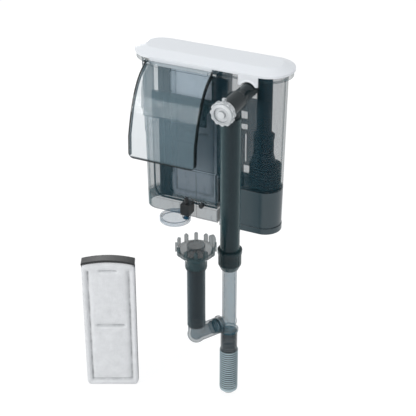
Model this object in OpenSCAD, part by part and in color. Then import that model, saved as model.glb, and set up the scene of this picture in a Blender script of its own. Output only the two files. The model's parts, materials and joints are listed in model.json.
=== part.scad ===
// Slim hang-on-back aquarium filter with a siphon intake and a surface skimmer.
// Datum used by the modules: middle of the body's length, outer face of the tank-side wall at the
// rim, top face of the rim. hang() then moves everything so that the origin is at the hanging face.

/* [Body] */
// Length of the body at the rim
body_l = 170; // [165:1:180]
// Depth of the body at the rim
body_w = 43; // [42:1:48]
// Height of the body from rim to skirt
body_h = 190; // [188:1:200]
// Wall thickness of the body
wall = 2.2; // [1.8:0.1:2.6]
// How much each wall leans in for every millimetre of depth
draft = 0.016; // [0.010:0.001:0.018]
// Height of the rim flange
rim_h = 6; // [5:0.5:7]
// Overhang of the rim flange
rim_over = 5.5; // [4.5:0.5:6]
// Height of the raised floor above the skirt's edge
floor_up = 16; // [14:1:20]

/* [Motor side] */
// Left face of the cartridge chamber's end wall
slot_x = 13.6; // [12:0.2:15]
// Width of the open slot between the chamber and the motor
slot_w = 3; // [2.5:0.5:4]
// Depth of the slot's roof below the rim
slot_top = 133; // [130:1:136]
// Depth of the motor base's top below the rim
motor_top = 140; // [138:1:142]
// Height of the motor base
motor_h = 52; // [50:1:56]
// Distance of the siphon arm from the middle of the body
siphon_x = 52; // [50:0.5:54]
// Distance of the pump and its leg from the middle of the body
pump_x = 60; // [58:0.5:61]

/* [Outlet and hanger] */
// Left end of the outlet
outlet_x0 = -63.5; // [-64:0.5:-60]
// Right end of the outlet
outlet_x1 = 11.3; // [9:0.5:12]
// Depth of the weir below the rim
weir_z = 41; // [38:1:43]
// Gap for the tank's glass
glass_gap = 20; // [18:1:24]
// Height of the hanger's front lip
lip_h = 15; // [12:1:20]

/* [Lid] */
// Overhang of the lid past the body
lid_over = 7.2; // [6.8:0.2:8]
// Height of the lid's plateau above the rim
lid_h = 7.5; // [6:0.5:9]
// Width of the lid's slope
lid_slope = 13; // [10:0.5:14]

/* [Cartridge] */
// Width of the cartridge
cart_w = 60; // [56:1:61]
// Height of the body left free above and below the cartridge
cart_room = 18; // [17:1:25]
// Thickness of the cartridge
cart_t = 12; // [10:0.5:14]
// Rise of the cartridge's arched top
cart_rise = 4; // [3:0.5:5]
// Depth of the spare cartridge's foot below the rim
spare_foot = 382; // [376:1:390]

/* [Intake] */
// Outer diameter of the siphon arm and leg
arm_d = 17; // [16:0.5:18]
// Outer diameter of the upper intake tube
upper_d = 21.5; // [21:0.5:23]
// Outer diameter of the sliding lower tube
lower_d = 16; // [15:0.2:16.4]
// Wall thickness of the tubes
tube_wall = 1.5; // [1.2:0.1:1.8]
// Distance of the intake tubes from the body's front
intake_y = 49; // [47:1:53]
// Depth of the strainer's foot below the rim
intake_foot = 376; // [370:1:390]
// Length of the strainer
strainer_h = 66; // [60:1:72]
// Diameter of the strainer
strainer_d = 21; // [20:0.5:23]
// Diameter of the valve knob
knob_d = 27; // [25:1:29]

/* [Skimmer] */
// Sideways distance of the riser from the intake tube
riser_dx = -22.4; // [-24:0.2:-21]
// Outward distance of the riser from the intake tube
riser_dy = -38; // [-40:1:-36]
// Outer diameter of the riser
riser_d = 20; // [19:0.5:21]
// Diameter across the crown's teeth
crown_d = 44; // [41:1:46]
// Number of teeth on the crown
teeth = 12; // [10:1:16]
// Height of the teeth
tooth_h = 8.5; // [7:0.5:10]

/* [Levelling cam] */
// Diameter of the cam
cam_d = 35; // [32:1:38]
// Distance of the pin from the cam's centre
cam_ecc = 13; // [11:0.5:14]

/* [Fits] */
// Radial clearance of a running fit
run = 0.05; // [0.03:0.01:0.1]
// Clearance between neighbouring curved faces
gap = 0.4; // [0.3:0.05:0.6]

/* [Hidden] */
$fn = 48;

smoke = [0.45, 0.55, 0.58, 0.5];
dark = [0.20, 0.27, 0.30];
clear = [0.80, 0.87, 0.90, 0.45];

mid_y = body_w / 2;             // middle of the body's depth
end_x = (body_l - body_w) / 2;  // centre of the round ends
eps = 1;                        // how far a cutting shape runs past a face
floor_z = -body_h + floor_up;   // top of the chamber's floor
wall_x1 = slot_x - wall;        // inner face of the chamber's right wall
motor_x0 = slot_x + slot_w;     // left face of the motor side
pump_floor = -motor_top + wall; // top of the pump chamber's floor
step_z = -96;                   // depth of the moulded step in the chamber's wall
step_x = -13;                   // where the step ends
step_in = 0.7;                  // how far the wall steps in
motor_z0 = -motor_top - motor_h;

arm_z = -16;                    // axis of the siphon arm
arm_bore = arm_d - 2 * tube_wall;
leg_d = arm_d - 2 * tube_wall - 2 * run;  // the leg's spigot in the arm's socket
leg_bore = leg_d - 2 * tube_wall;

tray_t = 2.4;
tray_fall = 2;                  // fall of the tray towards the tank
lip_y = -glass_gap - 1;         // inner face of the lip
hang_z = -weir_z - tray_t - tray_fall; // flat hanging face
tray_mid_x = (outlet_x0 + outlet_x1) / 2;
cheek_t = 2;

hinge_y = -10.8;                // axis of the flow guide
hinge_z = -4.2;
hinge_pin_d = 2.6;
ear_r = 2.8;
ear_t = 2.5;
guide_t = 2;
guide_x0 = outlet_x0 - 2.2;
guide_x1 = outlet_x1 + 2.2;
guide_start = [hinge_y - 2, hinge_z + 1];  // the guide's curve in YZ, from its hinge
guide_pull1 = [hinge_y - 30, -13];
guide_pull2 = [-50, -52];
guide_end = [-55, -72];         // where the curve turns into the upright skirt
guide_foot = [-56, -97];

lid_wall = 1.8;

pump_r = 15.6;                  // outer radius of the pump casing
pump_len = 4.8;                 // how far the casing is drawn out towards the end
pump_h = 22;
cover_h = 14;                   // dome and flange of the pump cover
socket_h = 24;
socket_z = pump_floor + pump_h + cover_h;
shaft_d = 3;
impeller_r = 10.5;
magnet_d = 14;
magnet_h = 26;

cap_h = 8;                      // height of the cap under the motor base
groove_h = 1.2;                 // groove between the cap and the base
base_wall = 2.5;
can_wall = 1.5;                 // the rotor's can, moulded into the base
can_bore = magnet_d + 2;
can_d = can_bore + 2 * can_wall;
can_foot = -motor_top - magnet_h - 4;
gland_x = motor_x0 + 14;
gland_z = motor_z0 + 22;
gland_d = 8;
gland_bore = 5.2;
boss_d = 6;                     // screw bosses in the base
screw_d = 2.5;

valve_d = 22;                   // body of the flow valve
valve_len = 28;
valve_bore = 16;
valve_y0 = -intake_y - valve_len / 2;

nut_d = 27;
nut_z0 = -body_h - 20;
nut_h = 24;
nut_floor = 5;
upper_foot = nut_z0 + 8;
lower_top = nut_z0 + 48;
collar_h = 20;                  // the strainer's collar on the tube
lower_foot = -intake_foot + strainer_h + 2;
branch_z = lower_foot + 28;
branch_len = norm([riser_dx, riser_dy]);
branch_a = atan2(riser_dy, riser_dx);
branch_d = 15;
riser_x = siphon_x + riser_dx;
riser_y = -intake_y + riser_dy;
riser_z0 = branch_z + 13;
riser_z1 = -body_h + 24;
crown_z0 = riser_z1 - 26;
bowl_z = 9;                     // the crown's bowl above the foot of its sleeve
bowl_h = 11.5;
tooth_a = 25;                   // direction of the first tooth
elbow_len = 33;                 // the skimmer elbow's socket on the branch
elbow_start = branch_len - elbow_len;

cam_pin_x = -21;
cam_pin_y = -6.4;
cam_z0 = -body_h + 3.5;
cam_t = 4.5;
cam_a = 222;                    // direction from the pin to the cam's centre
cam_cx = cam_pin_x + cam_ecc * cos(cam_a);
cam_cy = cam_pin_y + cam_ecc * sin(cam_a);
level_pin_d = 5;
peg_x = -5;                     // stop peg beside the cam
peg_z = cam_z0 + 15.5;
peg_d = 3;

cart_h = body_h - cart_room;
cart_x0 = wall_x1 - 2 - cart_w;
cart_z0 = floor_z + 0.5;
cart_y = mid_y - 2;             // middle plane of the cartridge
cap_t = 2.6;                    // thickness of the black cap strip along the arch
board_t = 2.4;                  // thickness of the stiff board inside the fleece
rail_w = 12.6;
rail_h = cart_h - 10;
spare_x = -79;
spare_y = -87;
spare_a = 25;                   // the spare stands turned towards the room

function radius_at(z, grow = 0) = body_w / 2 + draft * z + grow;

// Moves the datum so that the origin is the middle of the flat hanging face.
module hang() {
    translate([-tray_mid_x, (glass_gap + 1) / 2, -hang_z])
        children();
}

// Round-ended block between two heights, leaning in by the draft; grow sets its wall off.
module drafted_block(z0, z1, grow = 0) {
    r0 = radius_at(z0, grow);
    r1 = radius_at(z1, grow);
    for (side = [-1, 1])
        translate([side * end_x, mid_y, z0])
            cylinder(h = z1 - z0, r1 = r0, r2 = r1, $fn = 96);
    translate([-end_x, mid_y, 0])
        rotate([90, 0, 90])
            linear_extrude(2 * end_x)
                polygon([[-r0, z0], [r0, z0], [r1, z1], [-r1, z1]]);
}

// Half space for clipping: everything with x between x0 and x1.
module slab_x(x0, x1) {
    translate([x0, -100, -400])
        cube([x1 - x0, 300, 500]);
}

// Straight-sided round-ended plate.
module stadium_plate(z0, h, grow) {
    r = body_w / 2 + grow;
    for (side = [-1, 1])
        translate([side * end_x, mid_y, z0])
            cylinder(h = h, r = r, $fn = 96);
    translate([-end_x, mid_y - r, z0])
        cube([2 * end_x, 2 * r, h]);
}

module ring(d_out, d_in, h) {
    difference() {
        cylinder(h = h, d = d_out);
        translate([0, 0, -eps])
            cylinder(h = h + 2 * eps, d = d_in);
    }
}

// Rounded rectangle in the XY plane, from its lower left corner.
module rounded_rect(w, h, r) {
    translate([r, 0])
        square([w - 2 * r, h]);
    translate([0, r])
        square([w, h - 2 * r]);
    for (x = [r, w - r], y = [r, h - r])
        translate([x, y])
            circle(r = r);
}

// ---- Body ----

module housing_outside() {
    drafted_block(step_z, 0);
    // below the moulded step the left part is thinner by step_in
    intersection() {
        drafted_block(-body_h, step_z, -step_in);
        slab_x(-200, step_x);
    }
    intersection() {
        drafted_block(-slot_top, step_z);
        slab_x(step_x, 200);
    }
    intersection() {
        drafted_block(-body_h, -slot_top);
        slab_x(step_x, slot_x);
    }
    intersection() {
        drafted_block(-motor_top, -slot_top);
        slab_x(motor_x0, 200);
    }
    stadium_plate(-rim_h, rim_h, rim_over);
}

module housing_inside() {
    drafted_block(-slot_top + wall, eps, -wall);
    intersection() {
        drafted_block(floor_z, -slot_top + wall, -wall);
        slab_x(-200, wall_x1);
    }
    intersection() {
        drafted_block(-body_h - eps, floor_z - wall, -wall);
        slab_x(-200, wall_x1);
    }
    intersection() {
        drafted_block(pump_floor, -slot_top + wall, -wall);
        slab_x(motor_x0 + wall, 200);
    }
}

// Ears for the flow guide's pins, on the rim flange.
module hinge_ears() {
    for (x = [guide_x0 - ear_t - 0.5, guide_x1 + 0.5])
        translate([x, 0, 0])
            difference() {
                union() {
                    translate([0, hinge_y, hinge_z])
                        rotate([0, 90, 0])
                            cylinder(h = ear_t, r = ear_r);
                    translate([0, hinge_y, hinge_z - ear_r])
                        cube([ear_t, 0.5 - rim_over - hinge_y, 2 * ear_r]);
                }
                translate([-eps, hinge_y, hinge_z])
                    rotate([0, 90, 0])
                        cylinder(h = ear_t + 2 * eps, d = hinge_pin_d);
            }
}

module housing() {
    hang()
    color(smoke)
    difference() {
        union() {
            housing_outside();
            hinge_ears();
        }
        housing_inside();
        // outlet window under the rim
        translate([outlet_x0, -rim_over - eps, -weir_z])
            cube([outlet_x1 - outlet_x0, rim_over + eps + 2 * wall, weir_z - rim_h]);
        // notch for the siphon arm
        translate([siphon_x, -rim_over - eps, arm_z])
            rotate([-90, 0, 0])
                cylinder(h = rim_over + eps + 2 * wall, d = arm_d + 2 * gap);
        translate([siphon_x - arm_d / 2 - gap, -rim_over - eps, arm_z])
            cube([arm_d + 2 * gap, rim_over + eps + 2 * wall, -arm_z + eps]);
        // hole for the stop peg beside the cam
        translate([peg_x, -eps, peg_z])
            rotate([-90, 0, 0])
                cylinder(h = 3 * wall, d = peg_d);
        // bore for the rotor's can
        translate([pump_x, mid_y, -motor_top - eps])
            cylinder(h = wall + 2 * eps, d = can_d);
    }
}

module cheek(x) {
    translate([x, 0, 0])
        rotate([90, 0, 90])
            linear_extrude(cheek_t)
                polygon([[0, -rim_h - 1], [-8, -rim_h - 2.5], [-18, -13], [-24, -20],
                    [-27, -30], [-27.5, -weir_z - lip_h + 6], [lip_y, -weir_z - tray_fall - 1],
                    [0, -weir_z]]);
}

module hanger_bridge() {
    inner = radius_at(-weir_z);
    face = mid_y - inner;
    hang()
    color(smoke) {
        // tray that leads the water from the weir over the glass
        rotate([90, 0, 90])
            translate([0, 0, outlet_x0])
                linear_extrude(outlet_x1 - outlet_x0)
                    polygon([[face, -weir_z], [lip_y - tray_t, -weir_z - tray_fall],
                        [lip_y - tray_t, hang_z], [face + 0.06, hang_z]]);
        // front lip with its three rolled bands
        translate([outlet_x0, lip_y - tray_t, hang_z - lip_h])
            cube([outlet_x1 - outlet_x0, tray_t, lip_h + 1]);
        for (k = [0:2])
            translate([outlet_x0, lip_y - tray_t, hang_z - 1.5 - k * (lip_h - 3) / 2])
                rotate([0, 90, 0])
                    cylinder(h = outlet_x1 - outlet_x0, r = 1.4);
        cheek(outlet_x0);
        cheek(outlet_x1 - cheek_t);
    }
}

// ---- Motor ----

module motor_part(z0, z1, grow = 0) {
    intersection() {
        drafted_block(z0, z1, grow);
        slab_x(motor_x0 - grow, 200);
    }
}

module motor_base() {
    floor_h = 3;
    hang()
    color(dark)
    difference() {
        union() {
            difference() {
                motor_part(motor_z0 + cap_h, -motor_top);
                motor_part(motor_z0 + cap_h - eps, -motor_top - floor_h, -base_wall);
            }
            translate([pump_x, mid_y, can_foot - 2])
                cylinder(h = -motor_top + wall - 0.2 - can_foot + 2, d = can_d - 2 * run);
            for (p = screw_places())
                translate([p[0], p[1], motor_z0 + cap_h])
                    cylinder(h = motor_h - cap_h - 2, d = boss_d);
        }
        translate([pump_x, mid_y, can_foot])
            cylinder(h = 100, d = can_bore);
        for (p = screw_places())
            translate([p[0], p[1], motor_z0 + cap_h - eps])
                cylinder(h = 9, d = screw_d);
        // gland hole in the back wall
        translate([gland_x, mid_y + 10, gland_z])
            rotate([-90, 0, 0])
                cylinder(h = 20, d = gland_d);
    }
}

function screw_places() =
    [for (x = [motor_x0 + 7, end_x], y = [mid_y - 12.4, mid_y + 12.4]) [x, y]];

module base_cap() {
    hang()
    color(dark)
    difference() {
        union() {
            motor_part(motor_z0, motor_z0 + cap_h - groove_h, 0.5);
            motor_part(motor_z0 + cap_h - groove_h, motor_z0 + cap_h, -0.6);
        }
        for (p = screw_places()) {
            translate([p[0], p[1], motor_z0 - eps])
                cylinder(h = cap_h + 2 * eps, d = 3.2);
            translate([p[0], p[1], motor_z0 - eps])
                cylinder(h = 3 + eps, d = 6.2);
        }
    }
}

module base_screws() {
    hang()
    color("silver")
    for (p = screw_places())
        translate([p[0], p[1], motor_z0])
            difference() {
                union() {
                    translate([0, 0, 0.6])
                        cylinder(h = 2.4, d = 5.6);
                    translate([0, 0, 2.9])
                        cylinder(h = 13, d = screw_d);
                }
                for (a = [0, 90])
                    rotate([0, 0, a])
                        translate([-1.8, -0.4, 0])
                            cube([3.6, 0.8, 1.8]);
            }
}

module stator() {
    core = 16;
    hang()
    color("saddlebrown") {
        // laminated core around the can
        translate([0, 0, -motor_top - magnet_h + 2])
            difference() {
                translate([pump_x - 18, mid_y - 9, 0])
                    cube([30, 18, core]);
                translate([pump_x, mid_y, -eps])
                    cylinder(h = core + 2 * eps, d = can_d + 2 * gap);
            }
        // coil on the core's left arm
        translate([pump_x - 28, mid_y - 9, -motor_top - magnet_h])
            cube([10, 18, core + 4]);
    }
}

module cord_gland() {
    hang()
    color("dimgray")
    translate([gland_x, 0, gland_z])
        rotate([-90, 0, 0])
            difference() {
                union() {
                    translate([0, 0, mid_y + 14])
                        cylinder(h = 11, d = gland_d);
                    translate([0, 0, mid_y + 19.5])
                        cylinder(h = 4, d = gland_d + 4);
                }
                translate([0, 0, mid_y])
                    cylinder(h = 40, d = gland_bore);
            }
}

// ---- Pump ----

module pump_outline(r, h) {
    for (x = [0, pump_len])
        translate([x, 0, 0])
            cylinder(h = h, r = r);
    translate([0, -r, 0])
        cube([pump_len, 2 * r, h]);
}

module pump_casing() {
    ribs = 6;
    hang()
    color(dark)
    translate([pump_x, mid_y, pump_floor])
        difference() {
            union() {
                pump_outline(pump_r - 1.2, pump_h);
                for (k = [0:ribs - 1])
                    translate([0, 0, 1 + k * (pump_h - 3) / (ribs - 1)])
                        pump_outline(pump_r, 1.2);
            }
            // impeller chamber, open below into the can
            translate([0, 0, -eps])
                cylinder(h = pump_h - 3 + eps, r = impeller_r + 1.5);
            // suction eye under the socket
            translate([0, 0, pump_h - 4])
                cylinder(h = 5, d = leg_bore - 2);
            // discharge port towards the round end
            translate([5, -4, 4])
                cube([40, 8, 9]);
        }
}

module pump_cover() {
    hang()
    color(dark)
    translate([pump_x, mid_y, pump_floor + pump_h])
        difference() {
            union() {
                pump_outline(pump_r, 3);
                translate([0, 0, 3])
                    cylinder(h = cover_h - 3, r1 = pump_r - 1, r2 = 11.6);
                translate([0, 0, cover_h])
                    cylinder(h = socket_h, d = 22.4);
                translate([0, 0, cover_h + socket_h - 3])
                    cylinder(h = 3, d = 24);
            }
            translate([0, 0, -eps])
                cylinder(h = cover_h + 2, d = leg_bore - 2);
            translate([0, 0, cover_h])
                cylinder(h = socket_h + eps, d = arm_d + 2 * run);
            translate([0, 0, cover_h + 8])
                cylinder(h = 2.4, d = arm_d + 2.6);
        }
}

module pump_seal() {
    hang()
    color("black")
    translate([pump_x, mid_y, socket_z + 8.1])
        ring(arm_d + 2.6, arm_d, 2.2);
}

module impeller() {
    blades = 6;
    hang()
    color("white")
    translate([pump_x, mid_y, pump_floor])
        difference() {
            union() {
                translate([0, 0, 2])
                    cylinder(h = 1.6, r = impeller_r);
                translate([0, 0, 3.6])
                    cylinder(h = 9, r = 3.2);
                for (k = [0:blades - 1])
                    rotate([0, 0, k * 360 / blades])
                        translate([2.6, -0.6, 3])
                            cube([impeller_r - 3.2, 1.2, 8]);
                translate([0, 0, -1])
                    cylinder(h = 3.2, r = 5);
            }
            translate([0, 0, -5])
                cylinder(h = 30, d = shaft_d + 2 * run);
        }
}

module rotor_magnet() {
    hang()
    color("dimgray")
    translate([pump_x, mid_y, -motor_top - magnet_h + 1])
        difference() {
            cylinder(h = magnet_h + wall - 2, d = magnet_d);
            translate([0, 0, -eps])
                cylinder(h = magnet_h + 10, d = shaft_d + 2 * run);
        }
}

module impeller_shaft() {
    hang()
    color("silver")
    translate([pump_x, mid_y, can_foot + 0.5])
        cylinder(h = pump_floor + 15 - can_foot, d = shaft_d);
}

module shaft_bushes() {
    hang()
    color("black") {
        translate([pump_x, mid_y, can_foot])
            ring(can_bore, shaft_d, 3.5);
        // upper bush, held by a cross in the casing's eye
        translate([pump_x, mid_y, pump_floor + 12.9]) {
            ring(6, shaft_d, 3);
            for (a = [0:120:240])
                rotate([0, 0, a + 30])
                    translate([2.5, -0.7, 0.5])
                        cube([impeller_r - 1, 1.4, 2]);
        }
    }
}

// ---- Inside the chamber ----

module flow_baffle() {
    x0 = cart_x0 + cart_w + 0.4;
    zb = -slot_top + wall;
    slots = 7;
    hang()
    color(dark)
    difference() {
        union() {
            // screen between the chambers, standing on the bridge
            intersection() {
                translate([wall_x1 + 0.2, 0, zb])
                    cube([2.2, body_w, -zb - 9]);
                drafted_block(zb, 0, -wall - 0.3);
            }
            // head plate that catches the siphon's spill
            translate([wall_x1 + 0.2, wall + 0.6, -25])
                cube([14, 1.8, 12]);
        }
        for (k = [0:slots - 1])
            translate([wall_x1 - eps, mid_y - 11, -60 - k * 9])
                cube([6, 22, 4]);
    }
}

module cartridge_rails() {
    post = 5.9;                 // two posts side by side with a narrow light gap
    depth = cart_t + 4.8;
    hang()
    color(dark)
    intersection() {
        translate([cart_x0 - rail_w + 0.6, cart_y - depth / 2, floor_z])
            difference() {
                cube([rail_w + 2.4, depth, rail_h]);
                // channel for the cartridge's edge
                translate([rail_w - 1, 2.4, -eps])
                    cube([8, cart_t, rail_h + 2 * eps]);
                // gaps between the posts, open from front to back
                for (k = [0:4])
                    translate([post, -eps, 4 + k * (rail_h - 4) / 5])
                        cube([0.9, depth + 2 * eps, (rail_h - 4) / 5 - 4]);
                // windows in the lips that lap over the cartridge
                for (k = [0:4])
                    translate([rail_w + 0.6, -eps, 8 + k * (rail_h - 8) / 5])
                        cube([3, depth + 2 * eps, (rail_h - 8) / 5 - 8]);
            }
        drafted_block(floor_z, 0, -wall - step_in - 0.3);
    }
}

// ---- Lid ----

module lid() {
    front = -lid_over;
    lip_t = 1.4;
    arch_r = arm_d / 2 + 1.1;
    hang()
    color("white")
    difference() {
        union() {
            lid_shape(0);
            // tongue over the outlet's window
            translate([outlet_x0 + 0.6, front, -rim_h - 1])
                cube([outlet_x1 - outlet_x0 - 1.2, lip_t, rim_h + 2]);
            // apron that arches over the siphon arm
            translate([siphon_x - arch_r - 1.6, front, arm_z + 5])
                cube([2 * arch_r + 3.2, lip_t, -arm_z - 4]);
            // rounded bead along the arch
            intersection() {
                translate([siphon_x, front + 0.4, arm_z])
                    rotate([-90, 0, 0])
                        rotate_extrude($fn = 96)
                            translate([arch_r + 0.7, 0])
                                circle(r = 1.3, $fn = 24);
                translate([siphon_x - 20, front - 5, arm_z + 5])
                    cube([40, 10, 20]);
            }
        }
        translate([0, 0, -lid_wall])
            lid_shape(-lid_wall);
        translate([siphon_x, front - 3, arm_z])
            rotate([-90, 0, 0])
                cylinder(h = 8, r = arch_r, $fn = 96);
    }
}

// Lid outline: short upright edge, slope and plateau; grow makes the hollow below it.
module lid_shape(grow) {
    edge = 2.4;
    r = body_w / 2 + lid_over + grow;
    lower = grow < 0 ? -2 : 0;
    for (side = [-1, 1])
        translate([side * end_x, mid_y, 0]) {
            translate([0, 0, lower])
                cylinder(h = edge - lower, r = r, $fn = 96);
            translate([0, 0, edge])
                cylinder(h = lid_h - edge, r1 = r, r2 = r - lid_slope, $fn = 96);
        }
    translate([-end_x, mid_y, 0])
        rotate([90, 0, 90])
            linear_extrude(2 * end_x)
                polygon([[-r, lower], [r, lower], [r, edge], [r - lid_slope, lid_h],
                    [-r + lid_slope, lid_h], [-r, edge]]);
}

// ---- Cartridge ----

// Outline in XZ with an arched top, centred on x = 0, standing on z = 0; drop lowers the arch.
module cart_outline(drop = 0) {
    r = (cart_w * cart_w / 4 + cart_rise * cart_rise) / (2 * cart_rise);
    intersection() {
        translate([-cart_w / 2, 0])
            rounded_rect(cart_w, cart_h, 6);
        translate([0, cart_h - drop - r])
            circle(r = r, $fn = 180);
    }
}

module cart_upright(t) {
    rotate([90, 0, 0])
        translate([0, 0, -t / 2])
            linear_extrude(t)
                children();
}

// Stiff board with two windows, and the cap strip along the arched top.
module cartridge_frame_shape() {
    border = 7;
    window_h = (cart_h - 3 * border - 14) / 2;
    cart_upright(board_t)
        difference() {
            cart_outline(cap_t);
            for (z = [border, 2 * border + window_h])
                translate([-cart_w / 2 + border, z])
                    rounded_rect(cart_w - 2 * border, window_h, 3);
        }
    cart_upright(cart_t)
        difference() {
            cart_outline();
            cart_outline(cap_t);
        }
}

// The two fleece layers, one on each side of the board.
module cartridge_floss_shape() {
    layer = (cart_t - board_t) / 2 - 0.1;
    for (side = [-1, 1])
        translate([0, side * (board_t + layer + 0.1) / 2, 0])
            cart_upright(layer)
                difference() {
                    cart_outline(cap_t + 0.1);
                    translate([-cart_w, -10])
                        square([2 * cart_w, 10.1]);
                }
}

module in_chamber() {
    translate([cart_x0 + cart_w / 2, cart_y, cart_z0])
        children();
}

module beside_filter() {
    translate([spare_x, spare_y, -spare_foot])
        rotate([0, 0, spare_a])
            children();
}

module cartridge_frame() {
    hang()
    color("black")
    in_chamber()
        cartridge_frame_shape();
}

module cartridge_floss() {
    hang()
    color("whitesmoke")
    in_chamber()
        cartridge_floss_shape();
}

module spare_cartridge_frame() {
    hang()
    color("black")
    beside_filter()
        cartridge_frame_shape();
}

module spare_cartridge_floss() {
    hang()
    color("whitesmoke")
    beside_filter()
        cartridge_floss_shape();
}

// ---- Flow guide ----

// Side profile of the guide: a cubic curve from the hinge to the hanging foot, in (y, z).
function bezier(a, b, c, d, t) =
    pow(1 - t, 3) * a + 3 * pow(1 - t, 2) * t * b + 3 * (1 - t) * t * t * c + t * t * t * d;

function guide_line(inset) = concat(
    [for (k = [0:20])
        bezier(guide_start, guide_pull1, guide_pull2, guide_end, k / 20) + [inset * cos(70 - 3.4 * k),
            -inset * sin(70 - 3.4 * k)]],
    [guide_foot + [inset, 0]]);

function reversed(list) = [for (k = [len(list) - 1:-1:0]) list[k]];

module guide_band(x, w, depth) {
    translate([x, 0, 0])
        rotate([90, 0, 90])
            linear_extrude(w)
                polygon(concat(guide_line(0), reversed(guide_line(depth))));
}

module flow_guide() {
    w = guide_x1 - guide_x0;
    hang()
    color(clear)
    difference() {
        intersection() {
            union() {
                guide_band(guide_x0, w, guide_t);
                guide_band(guide_x0, 1.5, 5);
                guide_band(guide_x1 - 1.5, 1.5, 5);
                translate([guide_x0, hinge_y, hinge_z])
                    rotate([0, 90, 0])
                        cylinder(h = w, r = 2.9);
            }
            // rounds the two lower corners
            translate([guide_x0, 20, guide_foot[1]])
                rotate([90, 0, 0])
                    linear_extrude(120)
                        rounded_rect(w, 120, 6);
        }
        for (x = [guide_x0 - eps, guide_x1 - 6])
            translate([x, hinge_y, hinge_z])
                rotate([0, 90, 0])
                    cylinder(h = 6 + eps, d = hinge_pin_d + 2 * run);
    }
}

module guide_hinge_pins() {
    hang()
    color("silver")
    for (x = [guide_x0 - 3.5, guide_x1 - 5])
        translate([x, hinge_y, hinge_z])
            rotate([0, 90, 0])
                cylinder(h = 8.5, d = hinge_pin_d);
}

// ---- Siphon ----

// Passage inside the body: straight in to the middle, across to the pump's leg and down.
module arm_bend(d, foot) {
    for (x = [siphon_x, pump_x])
        translate([x, mid_y, arm_z])
            sphere(d = d);
    translate([siphon_x, mid_y, arm_z])
        rotate([0, 90, 0])
            cylinder(h = pump_x - siphon_x, d = d - 1);
    translate([pump_x, mid_y, foot])
        cylinder(h = arm_z - foot, d = d);
}

module siphon_elbow() {
    foot = arm_z - 20;
    spigot = 26;
    bore = arm_bore - 2;
    hang()
    color(dark)
    difference() {
        union() {
            // arm over the rim
            translate([siphon_x, valve_y0 + 4, arm_z])
                rotate([-90, 0, 0])
                    cylinder(h = mid_y - valve_y0 - 4, d = arm_d);
            arm_bend(arm_d, foot);
            // valve body
            translate([siphon_x, valve_y0, arm_z])
                rotate([-90, 0, 0])
                    cylinder(h = valve_len, d = valve_d);
            // spigot for the upper tube
            translate([siphon_x, -intake_y, arm_z - spigot])
                cylinder(h = spigot, d = upper_d - 2 * tube_wall - 2 * run);
        }
        translate([siphon_x, valve_y0 - eps, arm_z])
            rotate([-90, 0, 0])
                cylinder(h = valve_len - 4 + eps, d = valve_bore);
        translate([siphon_x, -intake_y, arm_z])
            rotate([-90, 0, 0])
                cylinder(h = mid_y + intake_y, d = bore);
        arm_bend(bore, foot - eps);
        translate([pump_x, mid_y, foot - eps])
            cylinder(h = 13, d = arm_bore);
        translate([siphon_x, -intake_y, arm_z - spigot - eps])
            cylinder(h = spigot + 1, d = arm_bore - 3);
    }
}

module siphon_leg() {
    foot = socket_z + 0.5;
    hang()
    color(dark)
    translate([pump_x, mid_y, 0])
        difference() {
            union() {
                translate([0, 0, foot])
                    cylinder(h = arm_z - 20.3 - foot, d = arm_d);
                translate([0, 0, arm_z - 21])
                    cylinder(h = 11, d = leg_d);
            }
            translate([0, 0, foot - eps])
                cylinder(h = 200, d = leg_bore - 1);
            // groove of the seal
            translate([0, 0, arm_z - 16])
                ring(leg_d + 2, leg_d - 1.6, 1.8);
        }
}

module elbow_seal() {
    hang()
    color("black")
    translate([pump_x, mid_y, arm_z - 15.95])
        ring(leg_d, leg_d - 1.6, 1.7);
}

module valve_knob() {
    flutes = 12;
    hang()
    color(clear)
    translate([siphon_x, valve_y0 - 1.2, arm_z])
        rotate([90, 0, 0])
            difference() {
                union() {
                    cylinder(h = 9, d = knob_d - 4);
                    translate([0, 0, 3])
                        cylinder(h = 4.5, d = knob_d);
                    translate([0, 0, 9])
                        cylinder(h = 1.5, d1 = knob_d - 6, d2 = knob_d - 10);
                    // pointer tab
                    translate([-2, knob_d / 2 - 3, 1])
                        cube([4, 5, 4]);
                }
                for (k = [0:flutes - 1])
                    rotate([0, 0, (k + 0.5) * 360 / flutes])
                        translate([knob_d / 2 + 1.2, 0, 2.5])
                            cylinder(h = 6, d = 5);
                translate([0, 0, 8])
                    ring(knob_d - 11, 8, 4);
                translate([0, 0, -eps])
                    cylinder(h = 6 + eps, d = 6);
            }
}

module valve_spool() {
    hang()
    color("lightsteelblue")
    translate([siphon_x, valve_y0, arm_z])
        rotate([-90, 0, 0])
            difference() {
                union() {
                    translate([0, 0, 1])
                        cylinder(h = valve_len - 6, d = valve_bore - 2 * run);
                    translate([0, 0, -7])
                        cylinder(h = 8.5, d = 6);
                }
                // bore open to the arm, with a port that faces down when the valve is open
                translate([0, 0, 7])
                    cylinder(h = valve_len, d = 10);
                translate([0, 0, 14])
                    rotate([-90, 0, 0])
                        cylinder(h = 10, d = 9.5);
                // groove of the seal
                translate([0, 0, 3])
                    ring(valve_bore + 2, valve_bore - 2.4, 2);
            }
}

module valve_seal() {
    hang()
    color("black")
    translate([siphon_x, valve_y0 + 3.1, arm_z])
        rotate([-90, 0, 0])
            ring(valve_bore - 2 * run, valve_bore - 2.4, 1.8);
}

// ---- Intake tubes ----

module upper_intake_tube() {
    top = arm_z - valve_d / 2 + 0.4;
    hang()
    color(dark)
    translate([siphon_x, -intake_y, 0])
        difference() {
            union() {
                translate([0, 0, upper_foot])
                    cylinder(h = top - 2 - upper_foot, d = upper_d);
                // screw thread ring at the foot, as three plain ridges
                for (k = [0:2])
                    translate([0, 0, upper_foot + 1 + 3 * k])
                        cylinder(h = 1.2, d = upper_d + 1.2);
            }
            translate([0, 0, upper_foot - eps])
                cylinder(h = 300, d = upper_d - 2 * tube_wall);
        }
}

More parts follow.
